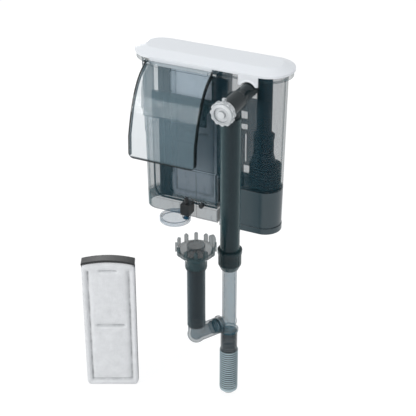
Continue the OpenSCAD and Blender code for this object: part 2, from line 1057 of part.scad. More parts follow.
module coupling_nut() {
    grips = 20;
    taper = 6;
    bead = 4;
    grip_d = nut_d - 1.6;
    hang()
    color(dark)
    translate([siphon_x, -intake_y, nut_z0])
        difference() {
            union() {
                cylinder(h = taper, d1 = lower_d + 4, d2 = grip_d);
                translate([0, 0, taper])
                    cylinder(h = nut_h - taper, d = grip_d);
                translate([0, 0, nut_h - bead])
                    cylinder(h = bead, d = nut_d);
            }
            for (k = [0:grips - 1])
                rotate([0, 0, k * 360 / grips])
                    translate([grip_d / 2 + 0.3, 0, taper + 1])
                        cylinder(h = nut_h - taper - bead - 2, d = 1.6, $fn = 16);
            translate([0, 0, -eps])
                cylinder(h = 12, d = lower_d + 2 * gap);
            translate([0, 0, nut_floor])
                cylinder(h = nut_h, d = upper_d + 1.2 + 2 * run);
        }
}

module nut_seal() {
    hang()
    color("black")
    translate([siphon_x, -intake_y, nut_z0 + nut_floor])
        ring(upper_d, lower_d, upper_foot - nut_z0 - nut_floor - 0.4);
}

module lower_intake_tube() {
    bore = lower_d - 2 * tube_wall;
    hang()
    color(clear)
    translate([siphon_x, -intake_y, 0])
        difference() {
            union() {
                translate([0, 0, lower_foot])
                    cylinder(h = lower_top - lower_foot, d = lower_d);
                translate([0, 0, lower_foot + collar_h - 4.7])
                    cylinder(h = 3, d = strainer_d);
                // side branch to the skimmer
                translate([0, 0, branch_z])
                    rotate([0, 90, branch_a])
                        cylinder(h = elbow_start + 11, d = branch_d);
                translate([0, 0, branch_z])
                    sphere(d = lower_d + 1.5);
            }
            translate([0, 0, lower_foot - eps])
                cylinder(h = 300, d = bore);
            translate([0, 0, branch_z])
                rotate([0, 90, branch_a])
                    cylinder(h = branch_len, d = branch_d - 2 * tube_wall);
        }
}

module strainer() {
    rings = 17;
    pitch = (strainer_h - 16) / rings;
    body = strainer_h - 2;
    hang()
    color(dark)
    translate([siphon_x, -intake_y, -intake_foot])
        difference() {
            union() {
                // collar that grips the tube
                translate([0, 0, body - 1])
                    difference() {
                        cylinder(h = collar_h, d = strainer_d - 2);
                        translate([0, 0, 2])
                            cylinder(h = collar_h, d = lower_d + 2 * run);
                    }
                for (k = [0:rings])
                    translate([0, 0, 6 + k * pitch])
                        cylinder(h = pitch * 0.5, d = strainer_d);
                translate([0, 0, 4])
                    cylinder(h = body - 4, d = strainer_d - 4);
                strainer_foot();
            }
            translate([0, 0, 3])
                cylinder(h = body + 20, d = strainer_d - 7);
            // slots between the rings, in four columns
            for (k = [0:rings - 1], a = [0:90:270])
                rotate([0, 0, a + 45])
                    translate([4, -4, 6.2 + (k + 0.5) * pitch])
                        cube([8, 8, pitch * 0.5 - 0.4]);
        }
}

// Rounded end of the strainer.
module strainer_foot() {
    cylinder(h = 3.5, d1 = strainer_d - 7, d2 = strainer_d - 0.6);
    translate([0, 0, 3.5])
        cylinder(h = 2, d = strainer_d - 0.6);
}

// ---- Skimmer ----

module at_branch(distance) {
    translate([siphon_x, -intake_y, branch_z])
        rotate([0, 90, branch_a])
            translate([0, 0, distance])
                children();
}

module skimmer_elbow() {
    hang()
    color(clear)
    difference() {
        union() {
            at_branch(elbow_start)
                cylinder(h = elbow_len, d = branch_d + 3.4);
            at_branch(elbow_start)
                cylinder(h = 2.5, d = branch_d + 5.4);
            translate([riser_x, riser_y, branch_z])
                sphere(d = branch_d + 5);
            translate([riser_x, riser_y, branch_z])
                cylinder(h = 12, d = branch_d + 3.4);
            translate([riser_x, riser_y, branch_z + 8])
                cylinder(h = 13, d = riser_d - 2 * tube_wall - 2 * run);
        }
        at_branch(elbow_start - eps)
            cylinder(h = 13, d = branch_d + 2 * run);
        at_branch(elbow_start)
            cylinder(h = elbow_len, d = branch_d - 3);
        at_branch(elbow_start + 5)
            cylinder(h = 2, d = branch_d + 1.8);
        translate([riser_x, riser_y, branch_z])
            sphere(d = branch_d - 1.6);
        translate([riser_x, riser_y, branch_z])
            cylinder(h = 30, d = branch_d - 3);
    }
}

module branch_seal() {
    hang()
    color("black")
    at_branch(elbow_start + 5.1)
        ring(branch_d + 1.8, branch_d, 1.8);
}

module skimmer_riser() {
    hang()
    color(dark) {
        translate([riser_x, riser_y, riser_z0])
            ring(riser_d, riser_d - 2 * tube_wall, riser_z1 - riser_z0);
        // collar that the floating crown rests on
        translate([riser_x, riser_y, crown_z0 - 2])
            ring(riser_d + 3, riser_d - 1, 2);
    }
}

module skimmer_crown() {
    rim_d = crown_d - 3;
    rim_z = bowl_z + bowl_h;
    hang()
    color(clear)
    translate([riser_x, riser_y, crown_z0]) {
        // sleeve over the riser
        ring(riser_d + 4, riser_d + 2 * run, bowl_z + 4);
        // bowl
        difference() {
            union() {
                translate([0, 0, bowl_z])
                    cylinder(h = bowl_h * 0.7, d1 = riser_d + 4, d2 = rim_d - 1);
                translate([0, 0, bowl_z + bowl_h * 0.7])
                    cylinder(h = bowl_h * 0.3, d1 = rim_d - 1, d2 = rim_d);
            }
            translate([0, 0, bowl_z + 2.4])
                cylinder(h = bowl_h * 0.7, d1 = riser_d + 3, d2 = rim_d - 5);
            translate([0, 0, bowl_z + bowl_h * 0.7 + 2.3])
                cylinder(h = bowl_h, d = rim_d - 5);
            translate([0, 0, bowl_z - eps])
                cylinder(h = 20, d = riser_d + 2 * run);
        }
        // upright teeth; the second one is the larger finger tab
        for (k = [0:teeth - 1])
            rotate([0, 0, tooth_a + k * 360 / teeth])
                if (k == 1)
                    crown_tooth(rim_z, 9, 4, tooth_h + 3);
                else
                    crown_tooth(rim_z, 4, 2.2, tooth_h);
    }
}

// One tooth with a rounded top; w is its width, t its thickness.
module crown_tooth(rim_z, w, t, h) {
    translate([crown_d / 2 - t, 0, rim_z - 1.5])
        rotate([90, 0, 90])
            linear_extrude(t) {
                translate([-w / 2, 0])
                    square([w, h + 1.5 - w / 2]);
                translate([0, h + 1.5 - w / 2])
                    circle(d = w, $fn = 24);
            }
}

// ---- Levelling cam ----

module level_cam() {
    hang()
    color(clear)
    difference() {
        union() {
            translate([cam_cx, cam_cy, cam_z0])
                ring(cam_d, cam_d - 4, cam_t);
            translate([cam_cx, cam_cy, cam_z0 + 1.5])
                cylinder(h = 1.6, d = cam_d - 3);
            translate([cam_pin_x, cam_pin_y, cam_z0])
                cylinder(h = cam_t, d = 9);
        }
        translate([cam_pin_x, cam_pin_y, cam_z0 - eps])
            cylinder(h = 20, d = level_pin_d + 2 * run);
    }
}

module level_pin() {
    hang()
    color("black")
    translate([cam_pin_x, cam_pin_y, 0]) {
        translate([0, 0, cam_z0 - 0.8])
            cylinder(h = 0.7, d = 7.5);
        translate([0, 0, cam_z0 - 0.2])
            cylinder(h = 25, d = level_pin_d);
    }
}

module level_bracket() {
    zb = cam_z0 + cam_t + 0.3;
    face = mid_y - radius_at(zb + 13);
    hang()
    color("black")
    difference() {
        translate([cam_pin_x - 5.5, cam_pin_y - 4.5, zb])
            cube([11, face - cam_pin_y + 4.5, 13]);
        translate([cam_pin_x, cam_pin_y, zb - eps])
            cylinder(h = 30, d = level_pin_d);
    }
}

module level_stop_peg() {
    face = mid_y - radius_at(peg_z + 4);
    hang()
    color("black")
    translate([peg_x, -2, peg_z])
        rotate([-90, 0, 0]) {
            cylinder(h = face + 2, d = peg_d + 2.5);
            cylinder(h = 7, d = peg_d);
        }
}

housing();
hanger_bridge();
motor_base();
base_cap();
base_screws();
stator();
cord_gland();
pump_casing();
pump_cover();
pump_seal();
impeller();
rotor_magnet();
impeller_shaft();
shaft_bushes();
flow_baffle();
cartridge_rails();
lid();
cartridge_frame();
cartridge_floss();
spare_cartridge_frame();
spare_cartridge_floss();
flow_guide();
guide_hinge_pins();
siphon_elbow();
siphon_leg();
elbow_seal();
valve_knob();
valve_spool();
valve_seal();
upper_intake_tube();
coupling_nut();
nut_seal();
lower_intake_tube();
strainer();
skimmer_elbow();
branch_seal();
skimmer_riser();
skimmer_crown();
level_cam();
level_pin();
level_bracket();
level_stop_peg();
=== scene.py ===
# %% [markdown]
# A slim hang-on-back aquarium filter, dressed for its portrait.
#
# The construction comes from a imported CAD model, which is loaded first and never moved. Everything in this
# file adds to it: the finish of each moulding, the fleece of the two cartridges, two thin partitions inside
# the housing, and the studio around them.

# %% Load the model
import json
import math

import bpy
import bmesh
from mathutils import Matrix, Vector, noise


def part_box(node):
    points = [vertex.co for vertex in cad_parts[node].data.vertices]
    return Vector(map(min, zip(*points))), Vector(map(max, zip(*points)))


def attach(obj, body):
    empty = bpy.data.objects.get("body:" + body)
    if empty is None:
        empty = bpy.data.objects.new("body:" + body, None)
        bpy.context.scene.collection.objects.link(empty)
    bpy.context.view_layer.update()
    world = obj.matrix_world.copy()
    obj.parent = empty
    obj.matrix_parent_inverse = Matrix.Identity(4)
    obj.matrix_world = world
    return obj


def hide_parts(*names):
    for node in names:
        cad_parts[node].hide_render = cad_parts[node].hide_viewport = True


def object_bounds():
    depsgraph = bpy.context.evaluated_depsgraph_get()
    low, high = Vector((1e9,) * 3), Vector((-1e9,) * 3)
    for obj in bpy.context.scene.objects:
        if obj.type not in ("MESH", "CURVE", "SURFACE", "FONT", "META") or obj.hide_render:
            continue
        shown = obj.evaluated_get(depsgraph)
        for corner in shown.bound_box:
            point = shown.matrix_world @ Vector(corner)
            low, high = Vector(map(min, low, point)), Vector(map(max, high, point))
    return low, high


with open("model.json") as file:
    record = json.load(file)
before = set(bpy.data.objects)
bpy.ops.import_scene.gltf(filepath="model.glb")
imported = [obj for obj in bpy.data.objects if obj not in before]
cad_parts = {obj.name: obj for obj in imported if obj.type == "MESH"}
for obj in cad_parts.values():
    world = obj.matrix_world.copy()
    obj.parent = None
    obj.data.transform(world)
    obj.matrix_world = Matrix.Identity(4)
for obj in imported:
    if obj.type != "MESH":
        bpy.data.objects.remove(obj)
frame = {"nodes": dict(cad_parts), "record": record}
cad_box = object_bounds()
nodes = frame["nodes"]
MM = 0.001

# %% Scene helpers
def show(name, data):
    """An object for a mesh, a lamp or a camera, put into the scene."""
    item = bpy.data.objects.new(name, data)
    bpy.context.scene.collection.objects.link(item)
    return item


def one_mesh(name, parts):
    """Joins finished bmeshes into one mesh and frees them."""
    whole = bmesh.new()
    step = bpy.data.meshes.new("step")
    for part in parts:
        part.to_mesh(step)
        part.free()
        whole.from_mesh(step)
    bpy.data.meshes.remove(step)
    mesh = bpy.data.meshes.new(name)
    whole.to_mesh(mesh)
    whole.free()
    return mesh


# %% [markdown]
# The camera is a long lens, a little above the filter and to its right. A long lens keeps the upright edges
# nearly parallel, as in a catalogue picture. The aim point is worked out from the housing's own box, so that
# the view follows the model if a size changes.

# %% Camera
body_low, body_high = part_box("housing")
AZIMUTH = math.radians(25.04)
ELEVATION = math.radians(29.36)
DISTANCE = 1.392
WALL_Y = 10.5 * MM              # the front wall's outer face at the rim
AIM_RIGHT = 3.0 * MM            # of the housing's middle
AIM_UP = 18.2 * MM              # from the housing's foot, since the intake hangs below it
body_mid = (body_low.x + body_high.x) / 2
aim = Vector((body_mid + AIM_RIGHT, WALL_Y, body_low.z + AIM_UP))

away = Vector((
    math.sin(AZIMUTH) * math.cos(ELEVATION),
    -math.cos(AZIMUTH) * math.cos(ELEVATION),
    math.sin(ELEVATION),
))
camera_data = bpy.data.cameras.new("camera")
camera_data.lens = 107.2
camera_data.sensor_width = 36
camera_data.clip_start = 0.05
camera_data.clip_end = 60
camera = show("camera", camera_data)
camera.location = aim + away * DISTANCE
camera.rotation_euler = (-away).to_track_quat("-Z", "Y").to_euler()
bpy.context.scene.camera = camera
bpy.context.scene.view_settings.view_transform = "Standard"
print("camera at", [round(c, 3) for c in camera.location])

# %% [markdown]
# The studio is a white floor and a white world. White on white would hide the object's edges, so the light is
# uneven: a large soft lamp from the front left models the forms, narrow ones from the right and from behind
# touch the round ends, and a small one above lifts the lid. The Light Path node shows a pure white to the
# camera and to what glass and gloss send on, and leaves a dimmer light on everything else.

# %% Node helpers
def new_material(name):
    """An empty node material, and its tree."""
    material = bpy.data.materials.new(name)
    material.use_nodes = True
    tree = material.node_tree
    tree.nodes.clear()
    return material, tree


def add(tree, kind, values=None, **settings):
    """A node of this kind, with its settings and its plain input values."""
    item = tree.nodes.new(kind)
    for key, value in settings.items():
        setattr(item, key, value)
    for key, value in (values or {}).items():
        item.inputs[key].default_value = value
    return item


def join(tree, source, output, target, socket):
    """Links one node's output to another node's input."""
    tree.links.new(source.outputs[output], target.inputs[socket])


def seen_directly(tree):
    """1 for rays from the camera, and for those that glass and gloss send on."""
    path = add(tree, "ShaderNodeLightPath")
    first = add(tree, "ShaderNodeMath", operation="MAXIMUM")
    second = add(tree, "ShaderNodeMath", operation="MAXIMUM")
    join(tree, path, "Is Camera Ray", first, 0)
    join(tree, path, "Is Glossy Ray", first, 1)
    join(tree, first, 0, second, 0)
    join(tree, path, "Is Transmission Ray", second, 1)
    return second


# %% World and floor
world = bpy.data.worlds.new("studio")
bpy.context.scene.world = world
world.use_nodes = True
sky = world.node_tree
sky.nodes.clear()
direct = seen_directly(sky)
lit = add(sky, "ShaderNodeBackground", {"Color": (0.93, 0.96, 1.0, 1), "Strength": 0.62})
white = add(sky, "ShaderNodeBackground", {"Color": (1, 1, 1, 1), "Strength": 1.0})
choice = add(sky, "ShaderNodeMixShader")
join(sky, direct, 0, choice, 0)
join(sky, lit, 0, choice, 1)
join(sky, white, 0, choice, 2)
join(sky, choice, 0, add(sky, "ShaderNodeOutputWorld"), 0)

floor_mesh = bpy.data.meshes.new("floor")
bm = bmesh.new()
bmesh.ops.create_grid(bm, x_segments=1, y_segments=1, size=6)
bmesh.ops.translate(bm, verts=bm.verts, vec=(0, 0, cad_box[0][2] - 0.6 * MM))
bm.to_mesh(floor_mesh)
bm.free()
floor = show("floor", floor_mesh)

floor_material, tree = new_material("floor paper")
direct = seen_directly(tree)
paper = add(tree, "ShaderNodeBsdfDiffuse", {"Color": (0.8, 0.8, 0.8, 1)})
thin_paper = add(tree, "ShaderNodeBsdfDiffuse", {"Color": (0.2, 0.2, 0.2, 1)})
glow = add(tree, "ShaderNodeEmission", {"Color": (1, 1, 1, 1), "Strength": 0.88})
lifted = add(tree, "ShaderNodeAddShader")
choice = add(tree, "ShaderNodeMixShader")
join(tree, thin_paper, 0, lifted, 0)
join(tree, glow, 0, lifted, 1)
join(tree, direct, 0, choice, 0)
join(tree, paper, 0, choice, 1)
join(tree, lifted, 0, choice, 2)
join(tree, choice, 0, add(tree, "ShaderNodeOutputMaterial"), 0)
floor_mesh.materials.append(floor_material)


def soft_lamp(name, place, target, width, height, power):
    """A rectangular area lamp at place, facing target."""
    data = bpy.data.lights.new(name, "AREA")
    data.shape = "RECTANGLE"
    data.size = width
    data.size_y = height
    data.energy = power
    lamp = show(name, data)
    lamp.location = place
    lamp.rotation_euler = (Vector(place) - Vector(target)).to_track_quat("Z", "Y").to_euler()


soft_lamp("key", (-0.75, -1.45, 0.55), aim, width=0.5, height=0.5, power=12.0)
soft_lamp("strip", (1.2, -0.7, 0.3), aim, width=0.06, height=1.2, power=1.2)
soft_lamp("rim", (-0.78, 1.03, 0.0), aim, width=0.10, height=0.6, power=2.6)
soft_lamp("top", (0.45, -0.1, 1.2), aim, width=0.3, height=0.3, power=2.2)
print("studio ready, floor at", round(cad_box[0][2], 4))

# %% [markdown]
# Moulded parts are never quite even. Some effects turn up on nearly every finish here, so each is a shader
# node group that is built once: a cloudy mottle, fine hairlines, dust that settles on what faces up, and a
# softened corner. Two more groups mark places on one piece: the edges of the flow guide and the crests of the
# strainer's rings, which carry a painted highlight. A group hands out only masks, values and normals, and the
# shader stays in the material.

# %% Shared effects
def new_group(name, inputs, outputs):
    """A shader node group with float inputs {name: default} and the named outputs."""
    group = bpy.data.node_groups.new(name, "ShaderNodeTree")
    for key, default in inputs.items():
        socket = group.interface.new_socket(key, in_out="INPUT", socket_type="NodeSocketFloat")
        socket.default_value = default
    for key, kind in outputs.items():
        group.interface.new_socket(key, in_out="OUTPUT", socket_type=kind)
    return group, add(group, "NodeGroupInput"), add(group, "NodeGroupOutput")


def mottle_group():
    """Cloudy variation: 0 to 1 around a middle value, at a scale given per metre."""
    group, ins, outs = new_group(
        "mottle", {"Scale": 60.0, "Contrast": 0.5}, {"Value": "NodeSocketFloat"}
    )
    place = add(group, "ShaderNodeTexCoord")
    cloud = add(group, "ShaderNodeTexNoise", {"Detail": 4.0, "Roughness": 0.6})
    centred = add(group, "ShaderNodeMath", {1: 0.5}, operation="SUBTRACT")
    spread = add(group, "ShaderNodeMath", operation="MULTIPLY")
    back = add(group, "ShaderNodeMath", {1: 0.5}, operation="ADD", use_clamp=True)
    join(group, place, "Object", cloud, "Vector")
    join(group, ins, "Scale", cloud, "Scale")
    join(group, cloud, 0, centred, 0)
    join(group, centred, 0, spread, 0)
    join(group, ins, "Contrast", spread, 1)
    join(group, spread, 0, back, 0)
    join(group, back, 0, outs, "Value")
    return group


def scuff_group():
    """Fine hairlines: a stretched noise cut to thin bright streaks."""
    group, ins, outs = new_group(
        "scuff", {"Scale": 220.0, "Amount": 0.3}, {"Mask": "NodeSocketFloat"}
    )
    place = add(group, "ShaderNodeTexCoord")
    stretch = add(group, "ShaderNodeMapping", {"Scale": (1.0, 1.0, 0.12), "Rotation": (0.3, 0.2, 0.1)})
    streak = add(group, "ShaderNodeTexNoise", {"Detail": 6.0, "Roughness": 0.7})
    cut = add(group, "ShaderNodeMapRange", {"From Min": 0.56, "From Max": 0.72})
    scaled = add(group, "ShaderNodeMath", operation="MULTIPLY")
    join(group, place, "Object", stretch, "Vector")
    join(group, stretch, 0, streak, "Vector")
    join(group, ins, "Scale", streak, "Scale")
    join(group, streak, 0, cut, "Value")
    join(group, cut, 0, scaled, 0)
    join(group, ins, "Amount", scaled, 1)
    join(group, scaled, 0, outs, "Mask")
    return group


def dust_group():
    """A mask for dust: where the surface faces up, broken by noise."""
    group, ins, outs = new_group(
        "dust", {"Scale": 90.0, "Amount": 0.3}, {"Mask": "NodeSocketFloat"}
    )
    shape = add(group, "ShaderNodeNewGeometry")
    split = add(group, "ShaderNodeSeparateXYZ")
    up = add(group, "ShaderNodeMapRange", {"From Min": 0.55, "From Max": 1.0})
    place = add(group, "ShaderNodeTexCoord")
    grain = add(group, "ShaderNodeTexNoise", {"Detail": 5.0, "Roughness": 0.65})
    broken = add(group, "ShaderNodeMath", operation="MULTIPLY")
    scaled = add(group, "ShaderNodeMath", operation="MULTIPLY")
    join(group, shape, "Normal", split, 0)
    join(group, split, "Z", up, "Value")
    join(group, place, "Object", grain, "Vector")
    join(group, ins, "Scale", grain, "Scale")
    join(group, up, 0, broken, 0)
    join(group, grain, 0, broken, 1)
    join(group, broken, 0, scaled, 0)
    join(group, ins, "Amount", scaled, 1)
    join(group, scaled, 0, outs, "Mask")
    return group


def corner_group():
    """A mask where the surface turns a sharp corner, and a normal that rounds that corner off."""
    group, ins, outs = new_group(
        "corner", {"Radius": 0.0006, "Gain": 4.0},
        {"Mask": "NodeSocketFloat", "Normal": "NodeSocketVector"},
    )
    rounded = add(group, "ShaderNodeBevel", samples=6)
    shape = add(group, "ShaderNodeNewGeometry")
    same = add(group, "ShaderNodeVectorMath", operation="DOT_PRODUCT")
    size = add(group, "ShaderNodeMath", operation="ABSOLUTE")
    turn = add(group, "ShaderNodeMath", {0: 1.0}, operation="SUBTRACT")
    gain = add(group, "ShaderNodeMath", operation="MULTIPLY", use_clamp=True)
    join(group, ins, "Radius", rounded, "Radius")
    join(group, rounded, "Normal", same, 0)
    join(group, shape, "Normal", same, 1)
    join(group, same, "Value", size, 0)
    join(group, size, 0, turn, 1)
    join(group, turn, 0, gain, 0)
    join(group, ins, "Gain", gain, 1)
    join(group, gain, 0, outs, "Mask")
    join(group, rounded, "Normal", outs, "Normal")
    return group


def band_group():
    """A mask for a strip along the two sides and the foot of a sheet, from its limits in x and z."""
    group, ins, outs = new_group(
        "band", {"Left": -9.0, "Right": 9.0, "Foot": -9.0, "Width": 0.001}, {"Mask": "NodeSocketFloat"}
    )
    place = add(group, "ShaderNodeTexCoord")
    split = add(group, "ShaderNodeSeparateXYZ")
    join(group, place, "Object", split, 0)
    masks = []
    for axis, limit, order in (("X", "Left", (1, 0)), ("X", "Right", (0, 1)), ("Z", "Foot", (1, 0))):
        inside = add(group, "ShaderNodeMath", operation="SUBTRACT")
        near = add(group, "ShaderNodeMath", operation="LESS_THAN")
        join(group, split, axis, inside, order[1])
        join(group, ins, limit, inside, order[0])
        join(group, inside, 0, near, 0)
        join(group, ins, "Width", near, 1)
        masks.append(near)
    sides = add(group, "ShaderNodeMath", operation="MAXIMUM")
    every = add(group, "ShaderNodeMath", operation="MAXIMUM")
    join(group, masks[0], 0, sides, 0)
    join(group, masks[1], 0, sides, 1)
    join(group, sides, 0, every, 0)
    join(group, masks[2], 0, every, 1)
    join(group, every, 0, outs, "Mask")
    return group


def crest_group():
    """A mask for what stands further than Radius from an upright axis, such as the rings of a strainer."""
    group, ins, outs = new_group(
        "crest", {"X": 0.0, "Y": 0.0, "Radius": 0.01}, {"Mask": "NodeSocketFloat"}
    )
    place = add(group, "ShaderNodeTexCoord")
    split = add(group, "ShaderNodeSeparateXYZ")
    flat = add(group, "ShaderNodeCombineXYZ")
    reach = add(group, "ShaderNodeVectorMath", operation="LENGTH")
    beyond = add(group, "ShaderNodeMath", operation="GREATER_THAN")
    join(group, place, "Object", split, 0)
    for axis in ("X", "Y"):
        off = add(group, "ShaderNodeMath", operation="SUBTRACT")
        join(group, split, axis, off, 0)
        join(group, ins, axis, off, 1)
        join(group, off, 0, flat, axis)
    join(group, flat, 0, reach, 0)
    join(group, reach, "Value", beyond, 0)
    join(group, ins, "Radius", beyond, 1)
    join(group, beyond, 0, outs, "Mask")
    return group


MOTTLE = mottle_group()
SCUFF = scuff_group()
DUST = dust_group()
CORNER = corner_group()
BAND = band_group()
CREST = crest_group()
print("effects:", [g.name for g in bpy.data.node_groups])


def place_group(tree, group, **values):
    """A copy of an effect in this tree, with its plain input values."""
    return add(tree, "ShaderNodeGroup", values, node_tree=group)


def two_colours(tree, mask, output, first, second):
    """Mixes two colours by a mask and gives the node."""
    mix = add(tree, "ShaderNodeMix", data_type="RGBA")
    mix.inputs["A"].default_value = (*first, 1)
    mix.inputs["B"].default_value = (*second, 1)
    join(tree, mask, output, mix, "Factor")
    return mix


# %% [markdown]
# The smoky mouldings are the heart of the look. Real clear styrene is a dielectric: it lets most light
# through where it is seen square on and hides what is behind where it is seen at a glancing angle, so its
# edges read as dark teal lines. A refracting shader would show that only with many bounces through dozens of
# walls. Here the tint is a colour with an alpha that rises towards grazing angles, which Layer Weight gives.

# %% Clear plastics
SLANT_FROM = 0.52       # of Layer Weight's Facing: where a wall starts to hide more
SLANT_FULL = 0.85


def marked_corners(tree, turned, bands, crest):
    """The corner mask, with the bands of a sheet or the crests of rings added where they are given."""
    corners = add(tree, "ShaderNodeMath", {1: 0.0}, operation="MAXIMUM")
    join(tree, turned, "Mask", corners, 0)
    for group, values in ((BAND, bands), (CREST, crest)):
        if values:
            join(tree, place_group(tree, group, **values), "Mask", corners, 1)
    return corners


def clear_colour(tree, mottle, graze, corners, face, side, corner):
    """The face colour with a slight mottle, turning to the side colour at a slant and to the corner's own."""
    tint = two_colours(tree, mottle, "Value", [c * 0.88 for c in face], [min(1, c * 1.12) for c in face])
    body = add(tree, "ShaderNodeMix", data_type="RGBA")
    body.inputs["B"].default_value = (*side, 1)
    lined = add(tree, "ShaderNodeMix", data_type="RGBA")
    lined.inputs["B"].default_value = (*corner, 1)
    join(tree, graze, "Facing", body, "Factor")
    join(tree, tint, "Result", body, "A")
    join(tree, body, "Result", lined, "A")
    join(tree, corners, 0, lined, "Factor")
    return lined


def clear_alpha(tree, graze, corners, alpha, side_alpha, corner_alpha, by_height):
    """How much is hidden: alpha square on, side_alpha at a slant, corner_alpha on corners, more under dust.

    by_height is (plain z, changed z, factor). The first two alphas are multiplied by the factor from the
    changed z on, and by a part of it on the way there.
    """
    scuff = place_group(tree, SCUFF, Scale=190.0, Amount=0.06)
    dust = place_group(tree, DUST, Scale=120.0, Amount=0.05)
    see = add(tree, "ShaderNodeMapRange",
              {"From Min": SLANT_FROM, "From Max": SLANT_FULL, "To Min": alpha, "To Max": side_alpha})
    worn = add(tree, "ShaderNodeMath", operation="ADD")
    dusty = add(tree, "ShaderNodeMath", operation="ADD", use_clamp=True)
    wall = add(tree, "ShaderNodeMath", {1: 1.0}, operation="MULTIPLY")
    line = add(tree, "ShaderNodeMath", {1: corner_alpha}, operation="MULTIPLY")
    total = add(tree, "ShaderNodeMath", operation="MAXIMUM")
    join(tree, graze, "Facing", see, "Value")
    join(tree, see, 0, worn, 0)
    join(tree, scuff, "Mask", worn, 1)
    join(tree, worn, 0, dusty, 0)
    join(tree, dust, "Mask", dusty, 1)
    join(tree, dusty, 0, wall, 0)
    join(tree, corners, 0, line, 0)
    join(tree, wall, 0, total, 0)
    join(tree, line, 0, total, 1)
    if by_height:
        plain_z, changed_z, factor = by_height
        place = add(tree, "ShaderNodeTexCoord")
        split = add(tree, "ShaderNodeSeparateXYZ")
        depth = add(tree, "ShaderNodeMapRange",
                    {"From Min": plain_z, "From Max": changed_z, "To Min": 1.0, "To Max": factor})
        join(tree, place, "Object", split, 0)
        join(tree, split, "Z", depth, "Value")
        join(tree, depth, 0, wall, 1)
    return total


def clear_plastic(name, face, side, corner, alpha, side_alpha, corner_alpha=0.85, roughness=0.06,
                  bump_height=0.0004, bump_scale=45.0, bump_strength=0.08, corner_width=0.0012, specular=0.3,
                  bands=None, crest=None, by_height=None):
    """Tinted see-through moulding: one colour seen square on, one at a slant, one along its corners.

    bands and crest are the inputs of the groups of those names, and clear_alpha explains by_height.
    """
    material, tree = new_material(name)
    shader = add(tree, "ShaderNodeBsdfPrincipled",
                 {"IOR": 1.55, "Roughness": roughness, "Specular IOR Level": specular})
    graze = add(tree, "ShaderNodeLayerWeight", {"Blend": 0.5})
    mottle = place_group(tree, MOTTLE, Scale=bump_scale, Contrast=0.5)
    turned = place_group(tree, CORNER, Radius=corner_width, Gain=5.0)
    corners = marked_corners(tree, turned, bands, crest)
    colour = clear_colour(tree, mottle, graze, corners, face, side, corner)
    hidden = clear_alpha(tree, graze, corners, alpha, side_alpha, corner_alpha, by_height)
    bump = add(tree, "ShaderNodeBump", {"Strength": bump_strength, "Distance": bump_height})
    join(tree, colour, "Result", shader, "Base Color")
    join(tree, hidden, 0, shader, "Alpha")
    join(tree, mottle, "Value", bump, "Height")
    join(tree, turned, "Normal", bump, "Normal")
    join(tree, bump, 0, shader, "Normal")
    join(tree, shader, 0, add(tree, "ShaderNodeOutputMaterial"), 0)
    return material


# %% [markdown]
# Each clear moulding gets its face colour, its side colour and the colour of its corners, and then how much
# it hides in each of those places. Thick or doubled walls hide more than thin ones of the same plastic.

# %% Smoky and clear finishes
INK = (0.006, 0.012, 0.014)     # the dark line along a moulding's corner
SHEET_FACE = (0.03, 0.075, 0.105)
SHEET_SIDE = (0.03, 0.05, 0.055)
guide_low, guide_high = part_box("flow_guide")
GUIDE_BANDS = {"Left": guide_low.x, "Right": guide_high.x, "Foot": guide_low.z, "Width": 1.5 * MM}
strainer_low, strainer_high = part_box("strainer")
# The crests of the strainer's rings, half a millimetre deep, where its material paints a pale highlight.
RING_HIGHLIGHT_CREST = {
    "X": (strainer_low.x + strainer_high.x) / 2,
    "Y": (strainer_low.y + strainer_high.y) / 2,
    "Radius": (strainer_high.x - strainer_low.x) / 2 - 0.5 * MM,
}
riser_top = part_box("skimmer_riser")[1].z
CLEARER_TOP = (riser_top - 30 * MM, riser_top - 22 * MM, 0.35)      # the riser hides less inside its crown
floor_line = body_low.z + 17 * MM
DARKER_FLOOR = (floor_line + 1 * MM, floor_line - 2 * MM, 1.9)      # the housing hides more near its floor

SMOKY = clear_plastic(
    "smoky clear styrene", face=(0.03, 0.08, 0.11), side=(0.03, 0.10, 0.11), corner=INK,
    alpha=0.21, side_alpha=0.60, specular=0.12, by_height=DARKER_FLOOR,
)
DARK_SMOKE = clear_plastic(
    "dark smoky styrene", face=(0.014, 0.021, 0.027), side=(0.05, 0.125, 0.135), corner=INK,
    alpha=0.78, side_alpha=0.97, specular=0.22,
)
RISER_SMOKE = clear_plastic(
    "smoky riser styrene", face=(0.012, 0.016, 0.020), side=(0.05, 0.10, 0.12), corner=INK,
    alpha=0.76, side_alpha=0.97, specular=0.2, by_height=CLEARER_TOP,
)
ARM_SMOKE = clear_plastic(
    "dark arm styrene", face=(0.006, 0.009, 0.011), side=(0.018, 0.035, 0.04), corner=INK,
    alpha=0.90, side_alpha=0.97, specular=0.15,
)
CROWN_SMOKE = clear_plastic(
    "smoky crown styrene", face=(0.02, 0.06, 0.07), side=(0.03, 0.08, 0.09), corner=INK,
    alpha=0.50, side_alpha=0.88, corner_width=0.0008, specular=0.3,
)
INNER_SMOKE = clear_plastic(
    "dark smoky pump housing", face=(0.008, 0.009, 0.014), side=(0.010, 0.018, 0.024),
    corner=(0.07, 0.10, 0.11),
    alpha=0.85, side_alpha=0.97, corner_alpha=0.6, specular=0.12,
)
PANEL_SMOKE = clear_plastic(
    "smoky partition", face=SHEET_FACE, side=SHEET_SIDE, corner=INK,
    alpha=0.17, side_alpha=0.92, specular=0.1,
)
LOWER_PANEL = clear_plastic(
    "thin smoky partition", face=SHEET_FACE, side=SHEET_SIDE, corner=INK,
    alpha=0.09, side_alpha=0.60, specular=0.1,
)
BAFFLE_SMOKE = clear_plastic(
    "smoky lip", face=(0.025, 0.06, 0.085), side=SHEET_SIDE, corner=INK,
    alpha=0.42, side_alpha=0.92, specular=0.1,
)
PUMP_SMOKE = clear_plastic(
    "dark smoky partition", face=(0.012, 0.025, 0.035), side=SHEET_SIDE, corner=INK,
    alpha=0.64, side_alpha=0.92, specular=0.1,
)
